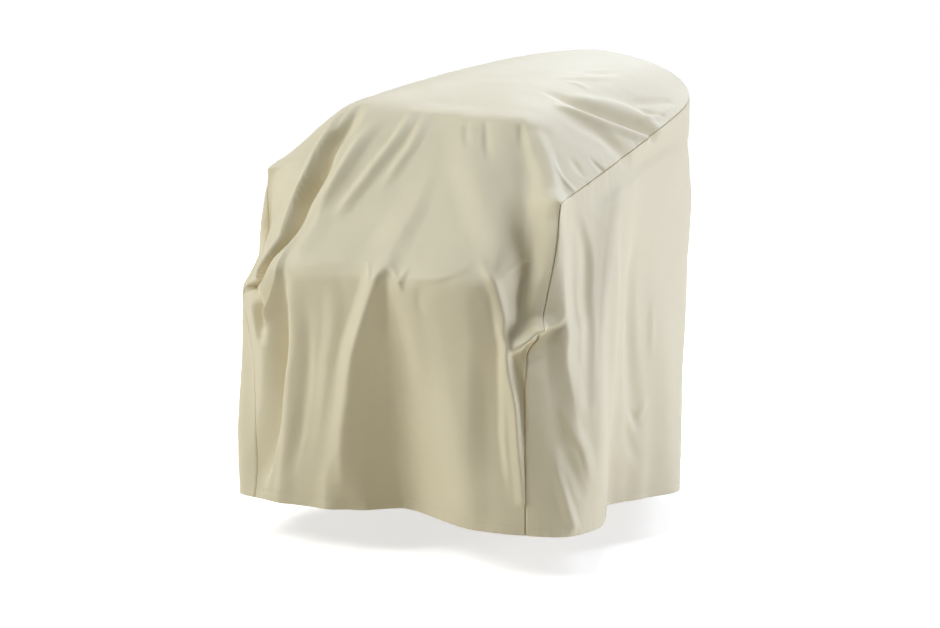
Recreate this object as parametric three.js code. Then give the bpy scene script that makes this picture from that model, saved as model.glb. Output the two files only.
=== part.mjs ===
// Fitted cloth cover for a lounge chair: an open, hollow hood of two sewn panels.
// One panel runs from the round back of the rim over the top and down the front to the hem,
// the other wraps the two sides and the back. X is across, Y runs from front to back, Z is up.
import * as THREE from "three";

// Driving sizes in millimetres. Heights are above the lowest line of the hem.
const CLOTH = 2;
const SEAM_GAP = 0.4;
const RIM = {
  halfWidth: 362,
  cornerX: 335,
  cornerY: 90,
  roundFrom: 622,
  backDepth: 306,
  rightHeight: 628,
  leftHeight: 675,
  backHeight: 912,
  ease: 0.113,
};
// The place where the chair carries the cover, under the top. It is the part's origin.
const SEAT = { y: 450, height: 828 };
// The side panel stands a little fuller than a straight line from rim to hem. Near the front it
// reaches the hem's outline early, by the share named sooner half way down.
const SIDE = { fullness: 10, middleY: 420, frontShare: 0.14, sooner: 0.35 };
// The folds push the cloth away from an upright line inside the cover.
const SPINE = { y: 450, height: 510 };

// The front panel's back edge, as a place on the rim, and the length over which it eases onto it.
const BACK_EDGE = 0.3;
const BACK_EASE = 0.25;

// Mesh rows and columns.
const ACROSS = 34;
const RIM_ROWS = 22;
const FRONT_ROWS = 20;
const RIM_SPREAD = 0.3;
const FRONT_SPREAD = 0.4;
const FOLD_STEPS = 20;
const CREST_BLUNT = 0.12;

const CLOTH_COLOUR = 0xd6d0bb;
const CLOTH_ROUGHNESS = 0.62;

// A table's rows as one list of numbers for each named column.
function columns(names, rows) {
  return Object.fromEntries(names.map((name, i) => [name, rows.map((row) => row[i])]));
}

// A table's rows as one record each.
function records(names, rows) {
  return rows.map((row) => Object.fromEntries(names.map((name, i) => [name, row[i]])));
}

// The upright front seams, from the rim's corner (down 0) to the hem (down 1).
const RIGHT_SEAM = columns(
  ["down", "x", "y"],
  [
    [0, 335, 90],
    [0.12, 336, 82],
    [0.26, 336, 58],
    [0.36, 336, 30],
    [0.42, 335, 8],
    [0.46, 329, -8],
    [0.52, 323, -12],
    [0.66, 322, -12],
    [1, 323, -10],
  ],
);
const LEFT_SEAM = columns(
  ["down", "x", "y"],
  [
    [0, -335, 90],
    [0.08, -336, 100],
    [0.2, -338, 110],
    [0.3, -348, 60],
    [0.36, -350, 20],
    [0.44, -338, 10],
    [0.55, -320, 3],
    [0.66, -316, 3],
    [1, -312, -6],
  ],
);

// Sections across the top and front. Edge is the row's end on the seam: up to 1 along the rim from
// the back to the corner, past 1 down the front. Bend is the share of the half width at which the
// left and right places lie.
const SECTIONS = columns(
  ["edge", "bend", "leftY", "midY", "rightY", "leftHeight", "midHeight", "rightHeight"],
  [
    [0.3, 0.62, 895, 928, 895, 890, 912, 890],
    [0.4, 0.62, 825, 850, 825, 880, 910, 886],
    [0.5, 0.62, 725, 740, 725, 868, 904, 880],
    [0.6, 0.62, 608, 620, 608, 855, 890, 862],
    [0.7, 0.62, 470, 480, 470, 840, 866, 838],
    [0.8, 0.62, 335, 340, 335, 822, 830, 808],
    [0.87, 0.62, 248, 245, 246, 810, 798, 784],
    [0.92, 0.63, 195, 190, 196, 790, 766, 758],
    [0.96, 0.67, 145, 145, 146, 750, 722, 708],
    [1, 0.72, 92, 95, 95, 695, 667, 652],
    [1.1, 0.76, 30, 15, 20, 595, 570, 565],
    [1.18, 0.78, -20, -35, -30, 525, 513, 510],
    [1.225, 0.78, -40, -50, -45, 490, 485, 485],
    [1.27, 0.78, -43, -52, -48, 455, 455, 455],
    [1.4, 0.78, -40, -45, -40, 380, 380, 380],
    [1.55, 0.78, -30, -35, -30, 290, 290, 290],
    [1.75, 0.78, -25, -20, -25, 163, 163, 163],
    [2, 0.78, -20, -10, -20, 0, 0, 0],
  ],
);

// The hem of the side panel, from the right front seam round the back to the left one. Early says
// how much of the early reach each place takes.
const HEM = columns(
  ["round", "x", "y", "early"],
  [
    [0, 323, -10, 1],
    [0.03, 354, -2, 0.8],
    [0.05, 378, 8, 0.6],
    [0.075, 403, 32, 0.6],
    [0.1, 417, 78, 0.8],
    [0.12, 420, 122, 1],
    [0.135, 410, 162, 0.9],
    [0.15, 394, 205, 0.8],
    [0.165, 374, 246, 0.6],
    [0.18, 364, 284, 0.5],
    [0.2, 374, 325, 0.3],
    [0.22, 395, 365, 0.1],
    [0.25, 413, 425, 0],
    [0.28, 420, 478, 0],
    [0.33, 394, 554, 0],
    [0.38, 337, 707, 0],
    [0.45, 190, 875, 0],
    [0.5, 0, 905, 0],
    [0.55, -190, 875, 0],
    [0.62, -340, 725, 0],
    [0.72, -400, 460, 0],
    [0.82, -395, 240, 0],
    [0.9, -384, 100, 0.1],
    [0.95, -362, 24, 0.3],
    [1, -312, -6, 1],
  ],
);

// Folds, each along three to five places on its panel, with its rises at evenly spaced places, out
// of the cover when positive. Left and right are the half widths at the last place, seen from
// outside with the fold running down, and start is their share at the first place.
const FRONT_FOLDS = records(
  ["across", "edge", "rises", "left", "right", "start", "crease"],
  [
    // Left shoulder, down to the protruding corner
    [
      [-0.62, -0.72, -0.74, -0.75, -0.77], [0.91, 0.97, 1.02, 1.09, 1.17], [2, 4, 5, 5, 3],
      60, 24, 1, 0.1,
    ],
    [
      [-0.53, -0.53, -0.57, -0.63, -0.97], [0.89, 0.99, 1.07, 1.17, 1.34], [0, -21, -32, -29, -10],
      46, 26, 0.6, 0.15,
    ],
    [
      [-0.45, -0.45, -0.44, -0.5, -0.62], [0.93, 0.99, 1.05, 1.15, 1.22], [0, 6, 6, 9, 7],
      22, 40, 0.9, 0.3,
    ],
    // Middle of the slope
    [[0.12, 0.12, 0.1, 0.09], [0.97, 1.04, 1.11, 1.18], [0, 5, 9, 7], 60, 22, 0.7, 0.5],
    [
      [0.14, 0.37, 0.54, 0.74, 0.84], [0.89, 0.97, 1.02, 1.1, 1.21], [2, 6, 7, 6, 2],
      55, 50, 1, 0.1,
    ],
    // Broad valley down to the right arm, and the ridge beside it
    [
      [0.53, 0.71, 0.86, 0.92, 0.92], [0.9, 0.95, 1.03, 1.14, 1.25], [0, -11, -20, -24, -22],
      105, 34, 0.6, 0.1,
    ],
    [
      [0.62, 0.77, 0.89, 0.96, 0.97], [0.88, 0.92, 0.97, 1.03, 1.15], [0, 4, 6, 5, 2],
      30, 24, 1, 0.3,
    ],
    // Skirt, from the deep middle valley to the left
    [
      [0.17, 0.18, 0.18, 0.17, 0.12], [1.23, 1.39, 1.56, 1.75, 1.98], [0, -28, -46, -60, -74],
      150, 215, 0.35, 0,
    ],
    [
      [0.07, -0.01, -0.15, -0.26, -0.36], [1.2, 1.36, 1.56, 1.73, 1.99], [5, 15, 18, 14, 3],
      44, 60, 0.55, 0.5,
    ],
    [
      [-0.48, -0.56, -0.65, -0.7, -0.75], [1.29, 1.48, 1.64, 1.78, 1.97], [2, 6, 7, 7, 6],
      24, 46, 1, 0.2,
    ],
    [
      [-0.57, -0.67, -0.75, -0.81, -0.88], [1.29, 1.49, 1.64, 1.79, 1.92], [-4, -15, -15, -12, -4],
      42, 26, 1, 0.15,
    ],
    [
      [-0.59, -0.64, -0.69, -0.74, -0.82], [1.21, 1.24, 1.31, 1.37, 1.42], [6, 11, 13, 11, 3],
      24, 22, 1, 0.6,
    ],
    // Skirt, right, with the gathered knot at the seam
    [
      [0.73, 0.82, 0.85, 0.86, 0.9], [1.17, 1.21, 1.28, 1.39, 1.44], [3, 9, 14, 14, 8],
      34, 40, 1, 0.6,
    ],
    [[0.9, 0.94, 0.99, 1], [1.44, 1.42, 1.41, 1.38], [5, 12, 14, 10], 20, 20, 1, 0.5],
    [
      [0.73, 0.84, 0.9, 0.93, 0.95], [1.43, 1.57, 1.66, 1.77, 1.89], [0, -9, -14, -12, -5],
      85, 24, 1, 0.1,
    ],
    [[0.54, 0.57, 0.6], [1.44, 1.67, 1.93], [0, 6, 10], 70, 70, 1, 0],
  ],
);
const SIDE_FOLDS = records(
  ["round", "down", "rises", "left", "right", "start", "crease"],
  [
    // Right front corner, from the seam to the flare and the hollow behind it
    [[0.009, 0.026, 0.041, 0.055], [0.03, 0.19, 0.32, 0.4], [3, 9, 9, 2], 22, 26, 1, 0.4],
    [
      [0.031, 0.05, 0.062, 0.072, 0.089], [0.06, 0.15, 0.25, 0.37, 0.47], [0, -8, -11, -8, 0],
      40, 30, 1, 0.1,
    ],
    [
      [0.104, 0.102, 0.105, 0.118, 0.133], [0.1, 0.22, 0.36, 0.64, 0.95], [0, 9, 11, 9, 4],
      50, 30, 1, 0.35,
    ],
    [[0.135, 0.15, 0.165, 0.175], [0.15, 0.4, 0.7, 1.02], [0, -10, -8, -4], 34, 60, 1, 0.1],
    // Under the taut band along the right rim, and its dent at the back
    [[0.07, 0.128, 0.199, 0.264], [0.07, 0.06, 0.07, 0.07], [-2, -7, -7, -3], 26, 46, 1, 0.2],
    [[0.28, 0.3, 0.34], [0.06, 0.13, 0.2], [0, -9, 0], 35, 45, 1, 0.2],
    [[0.29, 0.32, 0.34], [0.22, 0.3, 0.5], [3, 6, 0], 70, 70, 1, 0],
    [[0.2, 0.24, 0.27], [0.3, 0.65, 1.02], [0, 8, 16], 80, 110, 0.8, 0],
    // Back
    [[0.4, 0.41, 0.405], [0.15, 0.6, 1.02], [0, 10, 20], 70, 80, 0.6, 0.1],
    [[0.455, 0.46, 0.455], [0.25, 0.65, 1.02], [0, -9, -18], 70, 70, 0.6, 0],
    [[0.52, 0.515, 0.505], [0.1, 0.55, 1.02], [0, 12, 24], 80, 70, 0.5, 0.2],
    [[0.575, 0.57, 0.565], [0.3, 0.65, 1.02], [0, -8, -20], 70, 80, 0.6, 0],
    [[0.63, 0.64, 0.63], [0.12, 0.6, 1.02], [0, 11, 18], 80, 70, 0.6, 0.2],
    // Left side
    [[0.69, 0.7, 0.69], [0.2, 0.6, 1.02], [0, -8, -16], 80, 80, 0.7, 0],
    [[0.75, 0.755, 0.745], [0.1, 0.6, 1.02], [0, 10, 20], 90, 80, 0.6, 0.2],
    [[0.815, 0.82, 0.81], [0.25, 0.6, 1.02], [0, -12, -22], 80, 70, 0.6, 0],
    [[0.885, 0.885, 0.88], [0.1, 0.55, 1.02], [2, 12, 28], 90, 100, 0.5, 0.3],
    [[0.982, 0.976, 0.97, 0.975], [0.05, 0.14, 0.24, 0.36], [0, 16, 28, 8], 90, 34, 1, 0],
    [[0.975, 0.965, 0.96, 0.965], [0.36, 0.55, 0.78, 1], [3, 23, 25, 9], 80, 60, 1, 0],
  ],
);

// Cubic through a table's places.
function through(keys, values, at) {
  const last = keys.length - 1;
  const place = Math.min(Math.max(at, keys[0]), keys[last]);
  let i = 0;
  while (i < last - 1 && place >= keys[i + 1]) i += 1;
  const span = keys[i + 1] - keys[i];
  const slope = (k) => {
    const low = Math.max(k - 1, 0);
    const high = Math.min(k + 1, last);
    return (values[high] - values[low]) / (keys[high] - keys[low]);
  };
  const t = (place - keys[i]) / span;
  const rest = 1 - t;
  return (
    (1 + 2 * t) * rest * rest * values[i] +
    t * rest * rest * span * slope(i) +
    t * t * (3 - 2 * t) * values[i + 1] -
    t * t * rest * span * slope(i + 1)
  );
}

// Cubic through evenly spaced values, at a share of the way along them.
function along(values, share) {
  const keys = values.map((value, i) => i / (values.length - 1));
  return through(keys, values, share);
}

function smooth(t) {
  return THREE.MathUtils.smoothstep(t, 0, 1);
}

// Half of the rim seen from above, from the middle of the back to the right corner.
function halfRim() {
  const path = new THREE.CurvePath();
  path.add(
    new THREE.EllipseCurve(0, RIM.roundFrom, RIM.halfWidth, RIM.backDepth, Math.PI / 2, 0, true),
  );
  path.add(
    new THREE.QuadraticBezierCurve(
      new THREE.Vector2(RIM.halfWidth, RIM.roundFrom),
      new THREE.Vector2(RIM.halfWidth, (RIM.roundFrom + RIM.cornerY) / 2),
      new THREE.Vector2(RIM.cornerX, RIM.cornerY),
    ),
  );
  return path;
}

const HALF_RIM = halfRim();

// The rim seam, from the left corner (-1) round the back (0) to the right corner (1). It climbs
// evenly along its length from the corners to the back.
function rimPoint(place) {
  const share = Math.min(Math.abs(place), 1);
  const flat = HALF_RIM.getPoint(share);
  const eased = Math.hypot(share, RIM.ease) - RIM.ease;
  const fall = eased / (Math.hypot(1, RIM.ease) - RIM.ease);
  const low = place > 0 ? RIM.rightHeight : RIM.leftHeight;
  const height = THREE.MathUtils.lerp(RIM.backHeight, low, fall);
  return new THREE.Vector3(Math.sign(place) * flat.x, flat.y, height);
}

function seamPoint(side, down) {
  const table = side > 0 ? RIGHT_SEAM : LEFT_SEAM;
  const top = side > 0 ? RIM.rightHeight : RIM.leftHeight;
  return new THREE.Vector3(
    through(table.down, table.x, down),
    through(table.down, table.y, down),
    top * (1 - down),
  );
}

function edgePoint(side, edge) {
  return edge < 1 ? rimPoint(side * edge) : seamPoint(side, edge - 1);
}

// One section of the front panel, before the back edge is drawn onto the rim.
function sectionPoint(across, edge) {
  const at = (name) => through(SECTIONS.edge, SECTIONS[name], edge);
  const left = edgePoint(-1, edge);
  const right = edgePoint(1, edge);
  const bend = at("bend");
  const places = [-1, -bend, 0, bend, 1];
  const y = [left.y, at("leftY"), at("midY"), at("rightY"), right.y];
  const z = [left.z, at("leftHeight"), at("midHeight"), at("rightHeight"), right.z];
  const reach = across > 0 ? right.x : left.x;
  return new THREE.Vector3(
    Math.abs(across) * reach,
    through(places, y, across),
    through(places, z, across),
  );
}

function frontPoint(across, edge) {
  const point = sectionPoint(across, edge);
  const fade = 1 - smooth((edge - BACK_EDGE) / BACK_EASE);
  if (fade <= 0) return point;
  const shift = rimPoint(across * BACK_EDGE).sub(sectionPoint(across, BACK_EDGE));
  return point.addScaledVector(shift, fade);
}

function outward(point) {
  return new THREE.Vector3(point.x, point.y - SIDE.middleY, 0).normalize();
}

// A point from a top to a foot that goes out to the foot's place early.
function drop(top, foot, down, early, full) {
  const sooner = early * SIDE.sooner * Math.sin(Math.PI * down);
  const reach = new THREE.Vector3(foot.x - top.x, foot.y - top.y, 0);
  const point = top.clone().lerp(foot, down).addScaledVector(reach, sooner);
  return point.addScaledVector(outward(top), full);
}

function sidePoint(round, down) {
  const full = SIDE.fullness * Math.sin(Math.PI * Math.min(down, 1));
  const at = (name) => through(HEM.round, HEM[name], round);
  const foot = new THREE.Vector3(at("x"), at("y"), 0);
  const point = drop(rimPoint(1 - 2 * round), foot, down, at("early"), full);
  for (const [side, away] of [[1, round], [-1, 1 - round]]) {
    const near = smooth(1 - away / SIDE.frontShare);
    if (near <= 0) continue;
    const straight = drop(seamPoint(side, 0), seamPoint(side, 1), down, 1, full);
    point.addScaledVector(seamPoint(side, down).sub(straight), near);
  }
  return point;
}

// Direction in which a fold moves the cloth: away from the spine.
function spread(point) {
  const height = Math.min(point.z, SPINE.height);
  return new THREE.Vector3(point.x, point.y - SPINE.y, point.z - height).normalize();
}

// The line of a fold as points on its panel.
function foldLine(fold, panelPoint, first, second) {
  const points = Array.from({ length: FOLD_STEPS + 1 }, (_, i) =>
    panelPoint(along(first, i / FOLD_STEPS), along(second, i / FOLD_STEPS)),
  );
  return { fold, points };
}

const FOLD_LINES = [
  ...FRONT_FOLDS.map((fold) => foldLine(fold, frontPoint, fold.across, fold.edge)),
  ...SIDE_FOLDS.map((fold) => foldLine(fold, sidePoint, fold.round, fold.down)),
];

// Height of a fold across its width: a round swell, or a sharper crest as crease nears 1.
function profile(share, crease) {
  if (share >= 1) return 0;
  const swell = (1 + Math.cos(Math.PI * share)) / 2;
  const blunted = (value) => Math.hypot(value, CREST_BLUNT) - CREST_BLUNT;
  const crest = (1 - blunted(share) / blunted(1)) ** 2;
  return THREE.MathUtils.lerp(swell, crest, crease);
}

// The rise of one fold at a point. Lateral is 1 straight to the left of the fold's line, -1 to its
// right and between the two round its ends.
function foldRise(line, point, push) {
  const { fold, points } = line;
  let distance = Infinity;
  let place = 0;
  let lateral = 0;
  for (let i = 0; i < FOLD_STEPS; i += 1) {
    const step = points[i + 1].clone().sub(points[i]);
    const off = point.clone().sub(points[i]);
    const t = THREE.MathUtils.clamp(off.dot(step) / step.lengthSq(), 0, 1);
    off.addScaledVector(step, -t);
    if (off.length() < distance) {
      distance = off.length();
      place = (i + t) / FOLD_STEPS;
      lateral = step.normalize().cross(push).dot(off.normalize());
    }
  }
  const width = THREE.MathUtils.lerp(fold.right, fold.left, (1 + lateral) / 2);
  const taper = THREE.MathUtils.lerp(fold.start, 1, place);
  return along(fold.rises, place) * profile(distance / (width * taper), fold.crease);
}

// A panel's point with its folds.
function clothPoint(point) {
  const push = spread(point);
  const rise = FOLD_LINES.reduce((sum, line) => sum + foldRise(line, point, push), 0);
  return point.clone().addScaledVector(push, rise);
}

// Places of the mesh rows.
function rimStations() {
  return Array.from({ length: RIM_ROWS + 1 }, (_, i) => {
    const t = i / RIM_ROWS;
    return BACK_EDGE + (1 - BACK_EDGE) * t * (1 + RIM_SPREAD - RIM_SPREAD * t);
  });
}

function frontStations() {
  return Array.from({ length: FRONT_ROWS + 1 }, (_, i) => {
    const t = i / FRONT_ROWS;
    return t * (1 - FRONT_SPREAD + FRONT_SPREAD * t);
  });
}

// A panel as rows of points. The front panel's rows run across, the side panel's run round.
function frontGrid() {
  const edges = [...rimStations(), ...frontStations().slice(1).map((down) => 1 + down)];
  return edges.map((edge) =>
    Array.from({ length: ACROSS + 1 }, (_, i) =>
      clothPoint(frontPoint((2 * i) / ACROSS - 1, edge)),
    ),
  );
}

// The side panel takes the very points of the front panel along the seam.
function sideGrid(front) {
  const rim = rimStations();
  const inner = Array.from({ length: ACROSS - 1 }, (_, i) => 1 - (2 * (i + 1)) / ACROSS);
  const places = [
    ...rim.slice().reverse(),
    ...inner.map((across) => across * BACK_EDGE),
    ...rim.map((edge) => -edge),
  ];
  const lower = front.slice(RIM_ROWS);
  const top = [
    ...front.slice(0, RIM_ROWS + 1).map((row) => row[ACROSS]).reverse(),
    ...front[0].slice(1, ACROSS).reverse(),
    ...front.slice(0, RIM_ROWS + 1).map((row) => row[0]),
  ];
  return frontStations().map((down, i) => {
    if (i === 0) return top;
    const row = places.map((place) => clothPoint(sidePoint((1 - place) / 2, down)));
    row[0] = lower[i][ACROSS];
    row[row.length - 1] = lower[i][0];
    return row;
  });
}

// Adds each face's normal to its points, so that points on the seam get one normal from both panels.
function gatherNormals(grid, normals) {
  const add = (a, b, c) => {
    const normal = b.clone().sub(a).cross(c.clone().sub(a));
    for (const point of [a, b, c]) {
      if (!normals.has(point)) normals.set(point, new THREE.Vector3());
      normals.get(point).add(normal);
    }
  };
  for (let r = 0; r < grid.length - 1; r += 1) {
    for (let c = 0; c < grid[r].length - 1; c += 1) {
      add(grid[r][c], grid[r + 1][c], grid[r + 1][c + 1]);
      add(grid[r][c], grid[r + 1][c + 1], grid[r][c + 1]);
    }
  }
}

// A closed sheet of cloth round a grid. Every edge but the hem keeps half the seam gap.
function sheet(name, grid, normals) {
  const rows = grid.length;
  const cols = grid[0].length;
  const inside = (i, count) => THREE.MathUtils.clamp(i, 1, count - 2);
  const positions = [];
  const layers = [CLOTH / 2, -CLOTH / 2];
  for (const offset of layers) {
    for (let r = 0; r < rows; r += 1) {
      for (let c = 0; c < cols; c += 1) {
        const point = grid[r][c].clone();
        if (r === 0 || c === 0 || c === cols - 1) {
          const next = grid[r === 0 ? 1 : r][inside(c, cols)];
          point.addScaledVector(next.clone().sub(point).normalize(), SEAM_GAP / 2);
        }
        point.addScaledVector(normals.get(grid[r][c]).clone().normalize(), offset);
        positions.push(point.x, point.y - SEAT.y, point.z - SEAT.height);
      }
    }
  }
  const under = rows * cols;
  const index = [];
  const quad = (a, b, c, d) => index.push(a, b, c, a, c, d);
  for (let r = 0; r < rows - 1; r += 1) {
    for (let c = 0; c < cols - 1; c += 1) {
      const a = r * cols + c;
      quad(a, a + cols, a + cols + 1, a + 1);
      quad(a + under, a + under + 1, a + under + cols + 1, a + under + cols);
    }
  }
  const wall = (from, to) => quad(from, to, to + under, from + under);
  const last = (rows - 1) * cols;
  for (let c = 0; c < cols - 1; c += 1) {
    wall(c, c + 1);
    wall(last + c + 1, last + c);
  }
  for (let r = 0; r < rows - 1; r += 1) {
    wall((r + 1) * cols, r * cols);
    wall(r * cols + cols - 1, (r + 1) * cols + cols - 1);
  }
  const geometry = new THREE.BufferGeometry();
  geometry.setAttribute("position", new THREE.Float32BufferAttribute(positions, 3));
  geometry.setIndex(index);
  const material = new THREE.MeshStandardMaterial({
    color: CLOTH_COLOUR,
    roughness: CLOTH_ROUGHNESS,
    metalness: 0,
  });
  const mesh = new THREE.Mesh(geometry, material);
  mesh.name = name;
  return mesh;
}

const front = frontGrid();
const side = sideGrid(front);
const normals = new Map();
gatherNormals(front, normals);
gatherNormals(side, normals);

const cover = new THREE.Group();
cover.name = "chair_cover";
cover.add(sheet("top_front_panel", front, normals));
cover.add(sheet("side_back_panel", side, normals));

export default cover;
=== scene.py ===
import math
import bpy
import numpy as np
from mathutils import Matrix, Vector


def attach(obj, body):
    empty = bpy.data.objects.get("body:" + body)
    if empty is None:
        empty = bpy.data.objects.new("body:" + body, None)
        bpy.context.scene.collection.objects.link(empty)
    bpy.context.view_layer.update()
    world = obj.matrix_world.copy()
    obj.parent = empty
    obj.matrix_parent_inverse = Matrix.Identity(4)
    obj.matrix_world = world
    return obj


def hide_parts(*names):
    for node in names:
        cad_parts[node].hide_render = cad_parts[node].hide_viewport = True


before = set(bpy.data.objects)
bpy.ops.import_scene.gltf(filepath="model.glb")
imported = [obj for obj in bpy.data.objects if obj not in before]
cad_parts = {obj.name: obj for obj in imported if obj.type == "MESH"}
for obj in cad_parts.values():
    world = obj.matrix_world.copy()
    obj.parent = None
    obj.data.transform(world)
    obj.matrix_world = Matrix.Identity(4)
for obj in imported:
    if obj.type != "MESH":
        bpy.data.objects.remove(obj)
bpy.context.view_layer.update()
print("frame loaded")

millimetre = 0.001
tiny = 1e-9                                   # keeps a division away from nought


def columns(names, rows):  # a table's rows as one array for each named column
    return {name: np.array([row[i] for row in rows], float) for i, name in enumerate(names)}


def cubic(t, span, first, last, firstSlope, lastSlope):  # between two places, with their slopes
    rest = 1 - t
    return ((1 + 2 * t) * rest ** 2 * first + t * rest ** 2 * span * firstSlope
            + t * t * (3 - 2 * t) * last - t * t * rest * span * lastSlope)


def through(keys, values, at):  # cubic through a table's places
    k, v = np.asarray(keys, float), np.asarray(values, float)
    at = np.clip(at, k[0], k[-1])
    slope = np.empty_like(v)
    slope[1:-1] = (v[2:] - v[:-2]) / (k[2:] - k[:-2])
    slope[0] = (v[1] - v[0]) / (k[1] - k[0])
    slope[-1] = (v[-1] - v[-2]) / (k[-1] - k[-2])
    i = np.clip(np.searchsorted(k, at, side="right") - 1, 0, len(k) - 2)
    span = k[i + 1] - k[i]
    return cubic((at - k[i]) / span, span, v[i], v[i + 1], slope[i], slope[i + 1])


def along(values, share):  # cubic through evenly spaced values
    return through(np.linspace(0, 1, len(values)), values, share)


def smooth(t):
    t = np.clip(t, 0, 1)
    return t * t * (3 - 2 * t)


def unit(vectors):
    return vectors / (np.linalg.norm(vectors, axis=-1, keepdims=True) + tiny)


# the cut and hang of the cover, in millimetres, heights above the lowest hem line
cut = {
    "halfWidth": 362, "cornerX": 335, "cornerY": 90, "roundFrom": 622, "backDepth": 306,
    "rightHeight": 628, "leftHeight": 675, "backHeight": 912, "rimEase": 0.113,
    "originY": 450, "originHeight": 828,      # the part's origin, under the top
    "sideFullness": 10, "sideMiddleY": 420,   # the side's bulge, and the place it bulges away from
    "sideFront": 0.14,                        # share of the side that follows a front seam's bow
    "sooner": 0.35,                           # how much sooner the cloth gets out to a flared hem
    "spineY": 450, "spineHeight": 510,        # folds push away from this upright line
    "backEdge": 0.3, "backEase": 0.25,        # the front panel starts here on the rim, and eases in
}
rightSeam = columns(("down", "x", "y"), [
    (0, 335, 90), (0.12, 329, 82), (0.26, 326, 58), (0.36, 330, 30), (0.42, 335, 8),
    (0.46, 329, -8), (0.52, 323, -12), (0.66, 322, -12), (1, 323, -10)])
leftSeam = columns(("down", "x", "y"), [
    (0, -335, 90), (0.08, -336, 100), (0.2, -338, 110), (0.3, -348, 60), (0.36, -350, 20),
    (0.44, -338, 10), (0.55, -320, 3), (0.66, -316, 3), (1, -312, -6)])
# sections across the top and front: edge is where the row ends on the seam, up to 1 along the rim
# and past 1 down the front
sections = columns(
    ("edge", "bend", "leftY", "midY", "rightY", "leftHeight", "midHeight", "rightHeight"), [
        (0.3, 0.62, 895, 928, 895, 890, 912, 890),
        (0.4, 0.62, 825, 850, 825, 880, 910, 886),
        (0.5, 0.62, 725, 740, 725, 868, 904, 880),
        (0.6, 0.62, 608, 620, 608, 855, 890, 862),
        (0.7, 0.62, 470, 480, 470, 840, 866, 838),
        (0.8, 0.62, 335, 340, 335, 822, 830, 808),
        (0.87, 0.62, 248, 245, 246, 810, 798, 784),
        (0.92, 0.63, 195, 190, 196, 790, 766, 758),
        (0.96, 0.67, 145, 145, 146, 750, 722, 708),
        (1, 0.72, 92, 95, 95, 695, 667, 652),
        (1.1, 0.76, 30, 15, 20, 595, 570, 565),
        (1.18, 0.78, -20, -35, -30, 525, 513, 510),
        (1.225, 0.78, -40, -50, -45, 490, 485, 485),
        (1.27, 0.78, -43, -52, -48, 455, 455, 455),
        (1.4, 0.78, -40, -45, -40, 380, 380, 380),
        (1.55, 0.78, -30, -35, -30, 290, 290, 290),
        (1.75, 0.78, -25, -20, -25, 163, 163, 163),
        (2, 0.78, -20, -10, -20, 0, 0, 0)])
# the side panel's hem, from the right front seam round the back to the left one; early says how
# much sooner than a straight line the cloth gets out to it
hemLine = columns(("round", "x", "y", "early"), [
    (0, 323, -10, 1), (0.03, 354, -2, 0.8), (0.05, 378, 8, 0.6), (0.075, 403, 32, 0.6),
    (0.1, 417, 78, 0.8), (0.12, 420, 122, 1), (0.135, 410, 162, 0.9), (0.15, 394, 205, 0.8),
    (0.165, 374, 246, 0.6), (0.18, 364, 284, 0.5), (0.2, 374, 325, 0.3), (0.22, 395, 365, 0.1),
    (0.25, 413, 425, 0), (0.28, 420, 478, 0), (0.33, 394, 554, 0), (0.38, 337, 707, 0),
    (0.45, 190, 875, 0), (0.5, 0, 905, 0), (0.55, -190, 875, 0), (0.62, -340, 725, 0),
    (0.72, -400, 460, 0), (0.82, -395, 240, 0), (0.9, -384, 100, 0.1), (0.95, -362, 24, 0.3),
    (1, -312, -6, 1)])


def measuredRim(steps=600):  # half the rim from above, back middle to right corner, by length
    turn = np.linspace(0, math.pi / 2, steps)
    t = np.linspace(0, 1, steps)[1:]
    x = np.r_[cut["halfWidth"] * np.sin(turn),
              (1 - t * t) * cut["halfWidth"] + t * t * cut["cornerX"]]
    y = np.r_[cut["roundFrom"] + cut["backDepth"] * np.cos(turn),
              cut["roundFrom"] + (cut["cornerY"] - cut["roundFrom"]) * t]
    length = np.r_[0, np.cumsum(np.hypot(np.diff(x), np.diff(y)))]
    return length / length[-1], x, y


rimShare, rimX, rimY = measuredRim()


def rimPoint(place):  # -1 left corner, 0 back, 1 right corner
    share = np.clip(np.abs(place), 0, 1)
    ease = cut["rimEase"]
    fall = (np.hypot(share, ease) - ease) / (math.hypot(1, ease) - ease)
    low = np.where(place > 0, cut["rightHeight"], cut["leftHeight"])
    height = cut["backHeight"] + (low - cut["backHeight"]) * fall
    return np.stack([np.sign(place) * np.interp(share, rimShare, rimX),
                     np.interp(share, rimShare, rimY), height], -1)


def seamPoint(side, down):
    line, top = (rightSeam, cut["rightHeight"]) if side > 0 else (leftSeam, cut["leftHeight"])
    return np.stack([through(line["down"], line["x"], down), through(line["down"], line["y"], down),
                     top * (1 - down)], -1)


def edgePoint(side, edge):
    return np.where((edge < 1)[..., None], rimPoint(side * np.clip(edge, 0, 1)),
                    seamPoint(side, np.clip(edge - 1, 0, 1)))


def acrossThrough(bend, values, across):  # cubic through five places that differ from row to row
    keys = [-np.ones_like(across), -bend, np.zeros_like(across), bend, np.ones_like(across)]
    slope = [(values[1] - values[0]) / (keys[1] - keys[0])]
    slope += [(values[i + 1] - values[i - 1]) / (keys[i + 1] - keys[i - 1]) for i in (1, 2, 3)]
    slope += [(values[4] - values[3]) / (keys[4] - keys[3])]
    out = np.zeros_like(across)
    final = len(keys) - 2
    for i in range(final + 1):
        span = keys[i + 1] - keys[i]
        t = (across - keys[i]) / span
        value = cubic(t, span, values[i], values[i + 1], slope[i], slope[i + 1])
        out = np.where((t >= 0) & ((t < 1) | (i == final)), value, out)
    return out


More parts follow.
